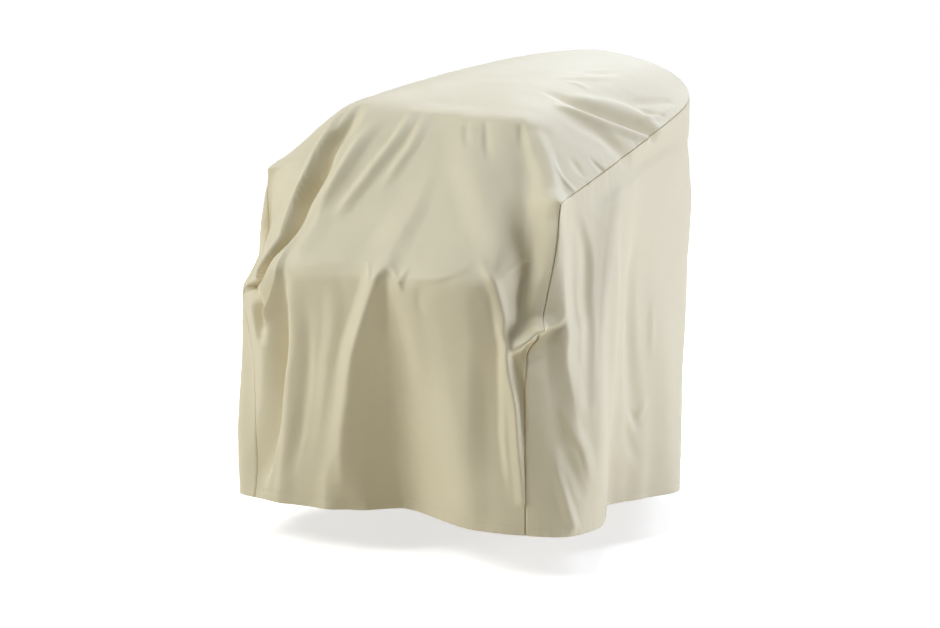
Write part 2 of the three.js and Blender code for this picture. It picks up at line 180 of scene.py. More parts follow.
def sectionPoint(across, edge):
    left, right = edgePoint(-1, edge), edgePoint(1, edge)
    at = {name: through(sections["edge"], sections[name], edge) for name in sections}
    y = acrossThrough(at["bend"], [left[..., 1], at["leftY"], at["midY"], at["rightY"],
                                   right[..., 1]], across)
    z = acrossThrough(at["bend"], [left[..., 2], at["leftHeight"], at["midHeight"],
                                   at["rightHeight"], right[..., 2]], across)
    reach = np.where(across > 0, right[..., 0], left[..., 0])
    return np.stack([np.abs(across) * reach, y, z], -1)


def frontPoint(across, edge):  # across -1 to 1, edge from the back of the rim to 2 at the hem
    across, edge = np.broadcast_arrays(np.asarray(across, float), np.asarray(edge, float))
    fade = 1 - smooth((edge - cut["backEdge"]) / cut["backEase"])
    start = np.full_like(edge, cut["backEdge"])
    shift = rimPoint(across * cut["backEdge"]) - sectionPoint(across, start)
    return sectionPoint(across, edge) + shift * fade[..., None]


def outward(point):
    return unit((point - np.array([0, cut["sideMiddleY"], 0])) * np.array([1, 1, 0]))


def drop(top, hem, down, early, full):  # from top to hem, getting out to the hem's place early
    reach = (hem - top) * np.array([1, 1, 0])
    sooner = early * cut["sooner"] * np.sin(math.pi * down)
    return top + (hem - top) * down[..., None] + reach * sooner[..., None] + outward(top) * full


def sidePoint(around, down):  # around 0 to 1 from the right front seam, down 0 to 1 from the rim
    around, down = np.broadcast_arrays(np.asarray(around, float), np.asarray(down, float))
    at = {name: through(hemLine["round"], hemLine[name], around) for name in hemLine}
    hem = np.stack([at["x"], at["y"], np.zeros_like(around)], -1)
    full = (cut["sideFullness"] * np.sin(math.pi * np.minimum(down, 1)))[..., None]
    point = drop(rimPoint(1 - 2 * around), hem, down, at["early"], full)
    for side, away in ((1, around), (-1, 1 - around)):
        near = smooth(1 - away / cut["sideFront"])[..., None]
        corner, bottom = seamPoint(side, np.zeros_like(down)), seamPoint(side, np.ones_like(down))
        straight = drop(corner, bottom, down, np.ones_like(down), full)
        point = point + (seamPoint(side, down) - straight) * near
    return point


panelPoint = {"front": frontPoint, "side": sidePoint}
print("cut laid out")

# each fold runs through places on its panel: across and edge on the front, around and down on the
# side. rises are millimetres out of the cover. left and right are half widths in millimetres seen
# from outside with the fold running down, and start their share at its first place. crease makes
# the crest sharp, flank makes the two sides flat, and lean tips the crest to the left
foldNames = ("panel", "places", "rises", "left", "right", "start", "crease", "flank", "lean")
foldRows = [
    ("front", [(-0.63, 0.92), (-0.64, 0.975), (-0.66, 1.02), (-0.69, 1.075), (-0.7, 1.13)],
     [2, 10, 12, 10, 7], 26, 8, 1, 0.4, 0, 0),  # roll beside the shoulder band
    ("front", [(-0.54, 0.895), (-0.56, 0.945), (-0.63, 0.98), (-0.64, 1.025), (-0.68, 1.08),
               (-0.68, 1.14), (-0.73, 1.19)],
     [0, -17, -32, -40, -38, -20, 0], 8, 50, 0.8, 0.1, 0.2, 0),  # shoulder band
    ("front", [(-0.64, 1.025), (-0.68, 1.08), (-0.68, 1.14), (-0.73, 1.19), (-0.8, 1.255),
               (-0.97, 1.35)],
     [0, -10, -34, -48, -44, -28], 9, 20, 0.8, 0.1, 0.3, 0),  # shoulder band's low end
    ("front", [(-0.975, 1.33), (-0.85, 1.335), (-0.82, 1.38), (-0.85, 1.465)],
     [-4, -18, -30, -10], 16, 34, 1.5, 0.1, 0, 0),  # hollow under the roll
    ("front", [(-0.44, 0.93), (-0.43, 0.975), (-0.43, 1.02), (-0.46, 1.075), (-0.51, 1.165)],
     [0, 3, 5, 5, 4], 16, 46, 0.9, 0.3, 0, 0),  # second roll
    ("front", [(-0.57, 1.1), (-0.61, 1.15), (-0.62, 1.19), (-0.62, 1.23), (-0.65, 1.28),
               (-0.7, 1.345), (-0.78, 1.41)],
     [0, 5, 9, 13, 16, 15, 6], 9, 16, 1, 0.5, 0, 0),  # second roll's low end
    ("front", [(-0.34, 0.925), (-0.41, 0.985), (-0.48, 1.05), (-0.56, 1.115)],
     [0, 9, 10, 0], 24, 26, 0.9, 0.3, 0, 0),  # shoulder ray
    ("front", [(-0.18, 0.875), (-0.17, 0.945), (-0.25, 1), (-0.32, 1.05), (-0.38, 1.1)],
     [0, 7, 8, 7, 0], 22, 26, 0.9, 0.3, 0, 0),  # shoulder ray
    ("front", [(-0.08, 0.885), (-0.06, 0.95), (-0.1, 0.985), (-0.15, 1.025)],
     [0, 5, 5, 0], 18, 22, 1, 0.3, 0, 0),  # short shoulder ray
    ("front", [(-0.3, 0.905), (-0.13, 0.89), (0.08, 0.89), (0.29, 0.905), (0.56, 0.905),
               (0.68, 0.88)], [0, 3, 4, 4, 5, 2], 26, 60, 1, 0.1, 0, 0),  # brow
    ("front", [(-0.61, 1.19), (-0.42, 1.19), (-0.23, 1.18), (-0.04, 1.175)],
     [0, 3, 3, 1], 26, 50, 1, 0, 0, 0),  # turn to the skirt, left
    ("front", [(0.26, 1.205), (0.42, 1.215), (0.56, 1.19), (0.68, 1.155)],
     [0, 3, 3, 1], 14, 50, 1, 0.2, 0, 0),  # turn to the skirt, right
    ("front", [(0.12, 0.97), (0.13, 1.045), (0.1, 1.105), (0.08, 1.175)],
     [0, 5, 9, 7], 80, 44, 0.7, 0.35, 0, 0),  # slope ridge, left
    ("front", [(0.14, 0.89), (0.33, 0.96), (0.47, 0.995), (0.62, 1.05), (0.75, 1.11),
               (0.84, 1.185)], [2, 6, 9, 9, 8, 4], 60, 60, 1, 0.15, 0, 0),  # slope ridge, middle
    ("front", [(0.51, 0.89), (0.66, 0.945), (0.81, 0.99), (0.905, 1.075), (0.935, 1.165),
               (0.925, 1.25)],
     [0, -6, -12, -16, -18, -10], 84, 26, 0.6, 0.1, 0.2, 0),  # slope trough, right
    ("front", [(0.64, 0.9), (0.76, 0.925), (0.85, 0.95), (0.955, 0.99)],
     [0, 8, 16, 22], 60, 26, 0.7, 0, 0.6, 0),  # corner ridge, top
    ("front", [(0.2, 0.9), (0.26, 0.935), (0.33, 0.96)],
     [0, -3, 0], 12, 14, 1, 0.3, 0, 0),  # brow pleat
    ("front", [(0.32, 0.9), (0.41, 0.945), (0.5, 0.975)],
     [0, -4, 0], 12, 16, 1, 0.3, 0, 0),  # brow pleat
    ("front", [(0.54, 0.9), (0.6, 0.925), (0.66, 0.945)],
     [0, -3, 0], 12, 14, 1, 0.3, 0, 0),  # brow pleat
    ("front", [(0.12, 1.18), (0.18, 1.21), (0.23, 1.25)],
     [1, 4, 2], 12, 12, 1, 0.3, 0, 0),  # pinch
    ("front", [(0.26, 1.18), (0.24, 1.2), (0.22, 1.23)],
     [0, 3, 2], 11, 12, 1, 0.3, 0, 0),  # pinch
    ("front", [(0.23, 1.23), (0.26, 1.24), (0.28, 1.255)],
     [-1, -2, 0], 18, 18, 1, 0.1, 0, 0),  # pinch
    ("front", [(-0.04, 1.175), (0, 1.205), (0.02, 1.24)],
     [0, 4, 0], 7, 8, 1, 0.5, 0, 0),  # small pinch
    ("front", [(0.22, 1.25), (0.26, 1.35), (0.29, 1.49), (0.3, 1.635)],
     [2, 4, 4, 0], 34, 44, 1, 0, 0, 0),  # ridge below the pinch
    ("front", [(0.41, 1.22), (0.36, 1.28), (0.38, 1.34)],
     [0, -2, 0], 18, 36, 1, 0.1, 0, 0),  # dimple
    ("front", [(0.16, 1.23), (0.12, 1.395), (0.06, 1.565), (0.02, 1.76), (0.03, 1.985)],
     [0, -16, -38, -56, -76], 100, 220, 0.45, 0, 0.35, 0),  # skirt's long hollow
    ("front", [(0.11, 1.175), (0.05, 1.235), (-0.05, 1.4), (-0.12, 1.51), (-0.18, 1.645),
               (-0.24, 1.775), (-0.34, 1.995)],
     [3, 13, 22, 22, 21, 18, 9], 60, 44, 0.5, 0.15, 0.6, 0),  # skirt's main ridge
    ("front", [(0.12, 1.205), (0.1, 1.255), (0.07, 1.36), (0.03, 1.465)],
     [-1, -5, -6, 0], 16, 20, 1, 0.1, 0, 0),  # crease beside it
    ("front", [(-0.59, 1.265), (-0.63, 1.425), (-0.74, 1.585), (-0.8, 1.735), (-0.88, 1.87),
               (-0.94, 1.95)],
     [-8, -30, -36, -30, -20, -6], 58, 24, 1, 0.15, 0.2, 0),  # hollow by the left seam
    ("front", [(-0.5, 1.26), (-0.52, 1.42), (-0.62, 1.58), (-0.66, 1.725), (-0.7, 1.825),
               (-0.76, 1.99)], [2, 7, 9, 9, 7, 4], 26, 36, 1, 0.2, 0, 0),  # left skirt ridge
    ("front", [(-0.38, 1.305), (-0.48, 1.535), (-0.56, 1.725), (-0.64, 1.845), (-0.7, 1.925)],
     [0, -3, -3, -3, 0], 22, 20, 1, 0.1, 0, 0),  # trough between the ridges
    ("front", [(-0.24, 1.23), (-0.24, 1.375), (-0.32, 1.515), (-0.38, 1.645), (-0.43, 1.78),
               (-0.5, 1.91)], [0, 4, 5, 4, 2, 0], 30, 30, 1, 0.15, 0, 0),  # middle skirt ridge
    ("front", [(0.7, 1.15), (0.82, 1.215), (0.86, 1.315), (0.86, 1.415), (0.93, 1.585),
               (0.95, 1.705), (0.98, 1.89)],
     [1, 10, 13, 13, 12, 11, 7], 20, 14, 1, 0.3, 0, 0),  # ridge by the right seam
    ("front", [(0.76, 1.22), (0.8, 1.265), (0.81, 1.365), (0.83, 1.465), (0.84, 1.59),
               (0.84, 1.715), (0.87, 1.865)],
     [0, -5, -9, -13, -15, -13, -2], 82, 14, 0.6, 0.1, 0, 0),  # hollow beside it
    ("front", [(0.54, 1.445), (0.57, 1.67), (0.6, 1.93)],
     [0, 6, 10], 70, 70, 1, 0, 0, 0),  # skirt's swell
    ("front", [(-0.23, 1.805), (-0.28, 1.9), (-0.29, 2)],
     [0, -8, -16], 40, 40, 1, 0, 0, 0),  # hem drawn in
    ("front", [(0.925, 1.165), (0.92, 1.24), (0.915, 1.31), (0.91, 1.365)],
     [-2, -9, -12, -6], 12, 38, 1, 0.1, 0.4, 0),  # pocket
    ("front", [(0.85, 1.19), (0.88, 1.175), (0.92, 1.165)],
     [0, 5, 3], 8, 10, 1, 0.3, 0, 0),  # pocket's lip
    ("front", [(0.88, 1.435), (0.91, 1.42), (0.95, 1.395), (0.995, 1.365)],
     [5, 20, 28, 20], 11, 28, 1, 0.3, 0.3, 0),  # knot
    ("side", [(0, 0.36), (0.012, 0.36), (0.024, 0.36), (0.032, 0.34)],
     [18, 14, 7, 1], 11, 28, 1, 0.3, 0.2, 0),  # knot past the seam
    ("front", [(0.915, 1.445), (0.96, 1.485), (0.99, 1.545), (1, 1.67)],
     [-3, -10, -10, -2], 14, 8, 1, 0.2, 0, 0),  # tuck under the knot
    ("front", [(0.995, 1.39), (0.99, 1.43), (1, 1.47)],
     [0, 0, 0], 22, 22, 1, 0, 0, 13),  # seam pulled aside
    ("front", [(0.58, 0.75), (0.69, 0.73), (0.82, 0.66), (0.915, 0.62), (0.985, 0.6)],
     [0, 4, 6, 6, 3], 30, 30, 1, 0.3, 0, 0),  # crown ridge
    ("front", [(0.42, 0.77), (0.64, 0.775), (0.76, 0.74), (0.88, 0.68), (0.995, 0.625)],
     [0, -9, -15, -17, -14], 20, 40, 0.8, 0.2, 0, 0),  # crown trough
    ("front", [(0.58, 0.805), (0.68, 0.795), (0.79, 0.76), (0.89, 0.71), (0.995, 0.655)],
     [0, 7, 10, 10, 7], 26, 14, 1, 0.5, 0, 0),  # crown ridge
    ("front", [(0.68, 0.825), (0.78, 0.8), (0.86, 0.77), (0.925, 0.755), (0.985, 0.75)],
     [0, -5, -9, -10, -7], 36, 40, 0.8, 0.1, 0, 0),  # crown trough
    ("front", [(0.81, 0.925), (0.89, 0.935), (0.99, 0.935)],
     [0, 4, 3], 9, 9, 1, 0.5, 0, 0),  # crown crease
    ("front", [(0.86, 0.88), (0.915, 0.885), (0.975, 0.89)],
     [0, -3, 0], 16, 16, 1, 0.1, 0, 0),  # crown crease
    ("front", [(0.91, 0.84), (0.95, 0.835), (0.99, 0.83)],
     [0, -4, -5], 9, 9, 1, 0.3, 0, 0),  # pinch at the rim
    ("front", [(0.965, 0.7), (0.995, 0.695), (1, 0.69)],
     [0, -2, -1], 8, 8, 1, 0.3, 0, 0),  # pinch at the rim
    ("front", [(0.94, 0.905), (0.995, 0.895), (1, 0.89)],
     [0, -2, -2], 8, 8, 1, 0.3, 0, 0),  # pinch at the rim
    ("front", [(0.79, 0.655), (0.84, 0.595), (0.905, 0.515)],
     [0, -5, -3], 20, 20, 1, 0.3, 0, 0),  # back crown crease
    ("front", [(0.86, 0.63), (0.9, 0.595), (0.95, 0.56)],
     [0, -5, -4], 12, 12, 1, 0.3, 0, 0),  # back crown crease
    ("front", [(0.9, 0.635), (0.935, 0.585), (0.945, 0.51)],
     [2, 4, 2], 14, 14, 1, 0.3, 0, 0),  # back crown crease
    ("front", [(0.4, 0.705), (0.54, 0.665), (0.63, 0.6)],
     [0, 4, 0], 24, 24, 1, 0.4, 0, 0),  # faint crown crease
    ("front", [(0.45, 0.655), (0.53, 0.625), (0.61, 0.58)],
     [0, -3, 0], 20, 20, 1, 0.3, 0, 0),  # faint crown crease
    ("front", [(0.46, 0.705), (0.55, 0.705), (0.64, 0.705)],
     [0, 3, 0], 16, 16, 1, 0.3, 0, 0),  # faint crown crease
    ("side", [(0, 0.01), (0.012, 0.14), (0.028, 0.3), (0.048, 0.46), (0.074, 0.7)],
     [1, 16, 24, 20, 5], 46, 34, 0.8, 0.2, 0.4, 0),  # side's corner ridge
    ("side", [(0.028, 0.04), (0.046, 0.12), (0.064, 0.22), (0.07, 0.34), (0.084, 0.47),
              (0.088, 0.62)], [0, -4, -7, -7, -6, -3], 24, 26, 1, 0.1, 0, 0),  # trough behind it
    ("side", [(0.118, 0.12), (0.114, 0.24), (0.12, 0.4), (0.136, 0.66), (0.176, 1)],
     [0, -12, -19, -15, -2], 96, 60, 1, 0, 0.3, 0),  # broad hollow
    ("side", [(0.168, 0.26), (0.174, 0.38), (0.182, 0.52), (0.196, 0.7), (0.204, 0.81)],
     [0, -8, -9, -7, 0], 38, 38, 1, 0.1, 0, 0),  # soft side trough
    ("side", [(0.07, 0.06), (0.128, 0.06), (0.2, 0.06), (0.264, 0.07)],
     [-2, -6, -6, -3], 26, 46, 1, 0.2, 0, 0),  # taut under the rim
    ("side", [(0.042, 0.73), (0.05, 0.82), (0.062, 0.9), (0.076, 0.97)],
     [0, 5, 7, 5], 20, 18, 1, 0.3, 0, 0),  # low ridge
    ("side", [(0.05, 0.72), (0.068, 0.8), (0.084, 0.88)],
     [0, -4, -2], 18, 22, 1, 0.1, 0, 0),  # low trough
    ("side", [(0.052, 0.64), (0.066, 0.7), (0.084, 0.76), (0.096, 0.84)],
     [3, 6, 6, 2], 16, 28, 1, 0.3, 0, 0),  # low ridge
    ("side", [(0.192, 0.74), (0.204, 0.78), (0.208, 0.82)],
     [0, -3, 0], 14, 14, 1, 0.1, 0, 0),  # small side crease
    ("side", [(0.216, 0.73), (0.21, 0.76), (0.206, 0.8)],
     [0, 3, 0], 14, 14, 1, 0.1, 0, 0),  # small side crease
    ("side", [(0.188, 0.76), (0.2, 0.84), (0.216, 0.91)],
     [0, -3, 0], 22, 22, 1, 0.1, 0, 0),  # small side crease
    ("side", [(0.21, 0.46), (0.212, 0.54), (0.216, 0.64)],
     [0, 4, 0], 10, 12, 1, 0.3, 0, 0),  # small side crease
    ("side", [(0.135, 0.15), (0.15, 0.4), (0.165, 0.7), (0.175, 1.02)],
     [0, -10, -8, -4], 34, 60, 1, 0.1, 0, 0),  # side trough
    ("side", [(0.2, 0.3), (0.24, 0.65), (0.27, 1.02)],
     [0, 8, 16], 80, 110, 0.8, 0, 0, 0),  # side swell
    ("side", [(0.28, 0.06), (0.3, 0.13), (0.34, 0.2)],
     [0, -9, 0], 35, 45, 1, 0.2, 0, 0),  # side dent
    ("side", [(0.29, 0.22), (0.32, 0.3), (0.34, 0.5)],
     [3, 6, 0], 70, 70, 1, 0, 0, 0),  # swell below it
    ("side", [(0.4, 0.15), (0.41, 0.6), (0.405, 1.02)],
     [0, 10, 20], 70, 80, 0.6, 0.1, 0, 0),  # back fold
    ("side", [(0.455, 0.25), (0.46, 0.65), (0.455, 1.02)],
     [0, -9, -18], 70, 70, 0.6, 0, 0, 0),  # back fold
    ("side", [(0.52, 0.1), (0.515, 0.55), (0.505, 1.02)],
     [0, 12, 24], 80, 70, 0.5, 0.2, 0, 0),  # back fold
    ("side", [(0.575, 0.3), (0.57, 0.65), (0.565, 1.02)],
     [0, -8, -20], 70, 80, 0.6, 0, 0, 0),  # back fold
    ("side", [(0.63, 0.12), (0.64, 0.6), (0.63, 1.02)],
     [0, 11, 18], 80, 70, 0.6, 0.2, 0, 0),  # back fold
    ("side", [(0.69, 0.2), (0.7, 0.6), (0.69, 1.02)],
     [0, -8, -16], 80, 80, 0.7, 0, 0, 0),  # left side fold
    ("side", [(0.75, 0.1), (0.755, 0.6), (0.745, 1.02)],
     [0, 10, 20], 90, 80, 0.6, 0.2, 0, 0),  # left side fold
    ("side", [(0.815, 0.25), (0.82, 0.6), (0.81, 1.02)],
     [0, -12, -22], 80, 70, 0.6, 0, 0, 0),  # left side fold
    ("side", [(0.885, 0.1), (0.885, 0.55), (0.88, 1.02)],
     [2, 12, 28], 90, 100, 0.5, 0.3, 0, 0),  # left side fold
    ("front", [(1, 1.005), (1, 1.08), (1, 1.17), (1, 1.28), (1, 1.355)],
     [18, 30, 33, 29, 16], 60, 64, 0.9, 0, 0.8, 0),  # corner ridge
    ("side", [(0.992, 0.03), (0.991, 0.12), (0.99, 0.2), (0.986, 0.28)],
     [4, 24, 32, 8], 90, 26, 1, 0, 0, 0),  # left corner, top
    ("side", [(0.975, 0.36), (0.965, 0.55), (0.96, 0.78), (0.965, 1)],
     [3, 23, 25, 9], 80, 60, 1, 0, 0, 0),  # left corner
]
folds = [dict(zip(foldNames, row)) for row in foldRows]
# steps are along a fold's line. blunt rounds the crest of a crease, bend the top and bottom of a
# flank. reach is how many half widths out a fold is worked out, and leanEnd keeps some lean at its
# two ends
foldForm = {"steps": 30, "blunt": 0.12, "bend": 0.07, "reach": 1.5, "leanEnd": 0.08}


def spread(point):
    height = np.minimum(point[..., 2], cut["spineHeight"])
    spine = np.stack([np.zeros_like(height), np.full_like(height, cut["spineY"]), height], -1)
    return unit(point - spine)


def profile(share, fold):
    swell = np.where(share < 1, (1 + np.cos(math.pi * np.minimum(share, 1))) / 2, 0)
    blunt, bend = foldForm["blunt"], foldForm["bend"]
    crest = (1 - (np.hypot(share, blunt) - blunt) / (math.hypot(1, blunt) - blunt)).clip(0) ** 2
    slack = 1 - np.hypot(share, bend)
    flank = np.where(share < foldForm["reach"], (slack + np.hypot(slack, bend)) / 2, 0)
    soft = 1 - fold["crease"] - fold["flank"]
    return swell * soft + crest * fold["crease"] + flank * fold["flank"]


def foldShift(fold, base, push):
    places = np.array(fold["places"], float)
    t = np.linspace(0, 1, foldForm["steps"] + 1)
    line = panelPoint[fold["panel"]](along(places[:, 0], t), along(places[:, 1], t))
    reach = max(fold["left"], fold["right"]) * max(1, fold["start"]) * foldForm["reach"]
    near = np.all((base > line.min(0) - reach) & (base < line.max(0) + reach), axis=-1)
    points, out = base[near], push[near]
    shift = np.zeros_like(base)
    best = np.full(len(points), np.inf)
    place, lateral = np.zeros(len(points)), np.zeros(len(points))
    sideways = np.zeros_like(points)
    for i in range(foldForm["steps"]):
        step = line[i + 1] - line[i]
        length = np.linalg.norm(step)
        if length < tiny:
            continue
        to = points - line[i]
        s = np.clip(to @ step / length ** 2, 0, 1)
        off = to - s[:, None] * step
        distance = np.linalg.norm(off, axis=1)
        hit = distance < best
        best[hit], place[hit] = distance[hit], (i + s[hit]) / foldForm["steps"]
        sideways[hit] = np.cross(step / length, out[hit])
        lateral[hit] = (sideways[hit] * off[hit]).sum(1) / (distance[hit] + tiny)
    taper = fold["start"] + (1 - fold["start"]) * place
    width = (fold["right"] + (fold["left"] - fold["right"]) * (1 + lateral) / 2) * taper
    shape = profile(best / width, fold)
    lift = along(fold["rises"], place) * shape
    leanEnd = foldForm["leanEnd"]
    tip = fold["lean"] * shape * np.sin(math.pi * np.clip(place, leanEnd, 1 - leanEnd))
    shift[near] = out * lift[:, None] + sideways * tip[:, None]
    return shift


# the cloth's own surface, in millimetres
clothForm = {
    "swells": ((90, 1.6), (34, 0.6), (15, 0.14)),     # size and height of the soft unevenness
    "seamDip": 4.5, "seamHalf": 1.4,                  # the groove of a seam
    "seamDent": 0.3, "dentHalf": 6,                   # the softer hollow round it
    "pucker": 0.9, "puckerFade": 22, "puckerLengths": (19, 31, 47),
    "hemDip": 0.5, "hemHalf": 3, "hemHeight": 20,     # the line that is stitched above the hem
    "hemRipple": 0.35, "hemLengths": (9, 14, 23), "rippleReach": 1.6,
    "lastPhase": 6,                                   # each ripple starts up to this far on, in radians
    "turnUp": 22, "turnGap": 1.6, "turnSteps": 5,     # the cloth that is turned up inside
}
latticeSide, latticeSeed = 32, 7
lattice = np.random.default_rng(latticeSeed).uniform(-1, 1, (latticeSide,) * 3)


def unevenness(point, size):  # soft random swells of about this size in millimetres
    q = point / size
    whole = np.floor(q).astype(int)
    f = smooth(q - whole)
    total = 0
    for i in (0, 1):
        for j in (0, 1):
            for k in (0, 1):
                x, y, z = (whole + (i, j, k)).T % latticeSide
                weight = 1
                for axis, bit in enumerate((i, j, k)):
                    weight = weight * (f[..., axis] if bit else 1 - f[..., axis])
                total = total + lattice[x, y, z] * weight
    return total


def wavering(distance, lengths, seed):  # uneven ripples along a seam
    rng = np.random.default_rng(seed)
    waves = [np.sin(2 * math.pi * distance / length + rng.uniform(0, clothForm["lastPhase"]))
             for length in lengths]
    return sum(waves) / len(lengths)


def folded(base):
    shape = base.shape
    flat = base.reshape(-1, 3)
    push = spread(flat)
    total = np.zeros_like(flat)
    for fold in folds:
        total += foldShift(fold, flat, push)
    rise = sum(unevenness(flat, size) * height for size, height in clothForm["swells"])
    return (flat + total + push * rise[:, None]).reshape(shape)


def gridNormals(grid):
    down = np.gradient(grid, axis=0)
    sideways = np.gradient(grid, axis=1)
    return unit(np.cross(down, sideways))


def travelled(grid, axis):  # length along the grid's lines, in millimetres
    step = np.linalg.norm(np.diff(grid, axis=axis), axis=-1)
    start = np.zeros_like(np.take(step, [0], axis=axis))
    return np.concatenate([start, np.cumsum(step, axis=axis)], axis=axis)


def seamRelief(toSeam, alongSeam, seed):
    f = clothForm
    dip = -f["seamDip"] * np.exp(-(toSeam / f["seamHalf"]) ** 2)
    dip = dip - f["seamDent"] * np.exp(-(toSeam / f["dentHalf"]) ** 2)
    pucker = wavering(alongSeam, f["puckerLengths"], seed) * f["pucker"]
    pucker = pucker * np.exp(-toSeam / f["puckerFade"]) * (1 - np.exp(-toSeam / f["dentHalf"]))
    return dip + pucker


def hemRelief(toHem, alongHem, seed):
    f = clothForm
    stitched = np.exp(-((toHem - f["hemHeight"]) / f["hemHalf"]) ** 2)
    ripple = wavering(alongHem, f["hemLengths"], seed) * f["hemRipple"]
    return -f["hemDip"] * stitched + ripple * smooth(1 - toHem / (f["rippleReach"] * f["hemHeight"]))


def withHem(grid):  # the hem turned under and up inside
    normals = gridNormals(grid)[-1]
    last, before = grid[-1], grid[-2]
    down = unit(last - before)
    radius, steps = clothForm["turnGap"] / 2, clothForm["turnSteps"]
    rows = [last - normals * radius * (1 - math.cos(a)) + down * radius * math.sin(a)
            for a in np.linspace(0, math.pi, steps)[1:]]
    up = [rows[-1] - down * rise for rise in np.linspace(0, clothForm["turnUp"], steps)[1:]]
    return np.concatenate([grid, np.stack(rows + up)])


def toMetres(grid):
    return (grid - np.array([0, cut["originY"], cut["originHeight"]])) * millimetre


def placed(name, data):  # a new object in the scene
    thing = bpy.data.objects.new(name, data)
    bpy.context.scene.collection.objects.link(thing)
    return thing


def smoothMesh(name, points, faces):
    mesh = bpy.data.meshes.new(name)
    mesh.from_pydata(toMetres(points).tolist(), [], faces)
    mesh.polygons.foreach_set("use_smooth", np.ones(len(faces), bool))
    return mesh


def clothPiece(name, grid):
    rows, cols = grid.shape[:2]
    index = np.arange(rows * cols).reshape(rows, cols)
    corners = [index[:-1, :-1], index[1:, :-1], index[1:, 1:], index[:-1, 1:]]
    quads = np.stack(corners, -1).reshape(-1, 4)
    mesh = smoothMesh(name, grid.reshape(-1, 3), quads.tolist())
    # laid out at real size, so the weave keeps its scale
    across, down = travelled(grid, 1) * millimetre, travelled(grid, 0) * millimetre
    across = across - across[:, cols // 2, None]
    place = np.stack([across, down], -1).reshape(-1, 2)
    layer = mesh.uv_layers.new(name="clothUv")
    layer.data.foreach_set("uv", place[quads.reshape(-1)].astype(np.float32).reshape(-1))
    return placed(name, mesh)


closeRows = (0.7, 1.4, 2.2, 3.2)              # millimetres from the seam to the grid's first lines
# flat and area are the cut sheet's, in metres. width, rimLength, length and height are the panels'
# rough sizes in millimetres. rimBow is the share of the way in from the side that is added to the
# way from the back of the rim, and rightAlong makes the right seam pucker unlike the left one
topFront = {"columns": 200, "rimRows": 200, "frontRows": 210, "width": 670, "rimLength": 800,
            "rimBow": 0.25, "rightAlong": 900, "seamSeed": 3, "hemSeed": 5,
            "flat": (0.99, 1.46), "area": 1.12}
sideBack = {"frontColumns": 190, "columns": 310, "rows": 176, "frontShare": 0.2, "length": 2500,
            "height": 800, "seamSeed": 4, "hemSeed": 6, "flat": (2.9, 0.92), "area": 1.84}


def withClose(stations, start, end):  # more lines by a seam, where start or end is the panel's length
    whole = stations[-1] - stations[0]
    first, last = [np.array(closeRows if length else ()) / (length or 1) * whole
                   for length in (start, end)]
    return np.unique(np.r_[stations, stations[0] + first, stations[-1] - last])


def edgeStations():
    rim = np.linspace(cut["backEdge"], 1, topFront["rimRows"] + 1)
    rim = withClose(rim, topFront["rimLength"], None)
    return np.r_[rim, 1 + np.linspace(0, 1, topFront["frontRows"] + 1)[1:]]


def frontGrid():
    make = topFront
    stations = withClose(np.linspace(-1, 1, make["columns"] + 1), make["width"], make["width"])
    across, edge = np.meshgrid(stations, edgeStations())
    grid = folded(frontPoint(across, edge))
    sideways, down = travelled(grid, 1), travelled(grid, 0)
    toSide = np.minimum(sideways, sideways[:, -1:] - sideways)
    toSeam = np.minimum(toSide, down + make["rimBow"] * toSide)
    toHem = down[-1] - down
    alongSeam = down + np.where(across > 0, make["rightAlong"], 0)
    seam = seamRelief(toSeam, alongSeam, make["seamSeed"])
    hem = hemRelief(toHem, sideways, make["hemSeed"])
    return grid + spread(grid) * seam[..., None] + gridNormals(grid) * hem[..., None]


def sideGrid():
    make = sideBack
    # closer lines over the front share, where most of the folds are
    stations = np.r_[np.linspace(0, make["frontShare"], make["frontColumns"] + 1),
                     np.linspace(make["frontShare"], 1, make["columns"] + 1)[1:]]
    stations = withClose(stations, make["length"], make["length"])
    rows = withClose(np.linspace(0, 1, make["rows"] + 1), make["height"], None)
    around, down = np.meshgrid(stations, rows)
    grid = folded(sidePoint(around, down))
    sideways, fallen = travelled(grid, 1), travelled(grid, 0)
    toFront = np.minimum(sideways, sideways[:, -1:] - sideways)
    toSeam = np.minimum(toFront, fallen)
    alongSeam = np.where(toFront < fallen, fallen, sideways)
    seam = seamRelief(toSeam, alongSeam, make["seamSeed"])
    hem = hemRelief(fallen[-1] - fallen, sideways, make["hemSeed"])
    return grid + spread(grid) * seam[..., None] + gridNormals(grid) * hem[..., None]


front, side = frontGrid(), sideGrid()
frontCloth = clothPiece("topAndFrontPanel", withHem(front))
sideCloth = clothPiece("sideAndBackPanel", withHem(side))
print("panels draped:", len(frontCloth.data.polygons), "and", len(sideCloth.data.polygons), "faces")


# coated cover cloth: a close plain weave that shows only near by, its depth in millimetres
clothLook = {"colour": (0.77, 0.685, 0.46), "roughness": 0.55, "specular": 0.5, "sheen": 0.15,
             "sheenRoughness": 0.5, "threadsPerMetre": 1700, "weaveDepth": 0.04,
             "mottle": 0.05, "mottleScale": 9, "mottleDetail": 3, "mottleMiddle": 0.5}
weaveSockets = {"Threads Per Metre": "threadsPerMetre", "Mottle": "mottle",
                "Mottle Scale": "mottleScale"}


def maths(tree, operation, *terms):  # a maths node on other nodes' outputs and plain numbers
    node = tree.nodes.new("ShaderNodeMath")
    node.operation = operation
    for term, socket in zip(terms, node.inputs):
        if isinstance(term, bpy.types.NodeSocket):
            tree.links.new(term, socket)
        else:
            socket.default_value = term
    return node.outputs[0]


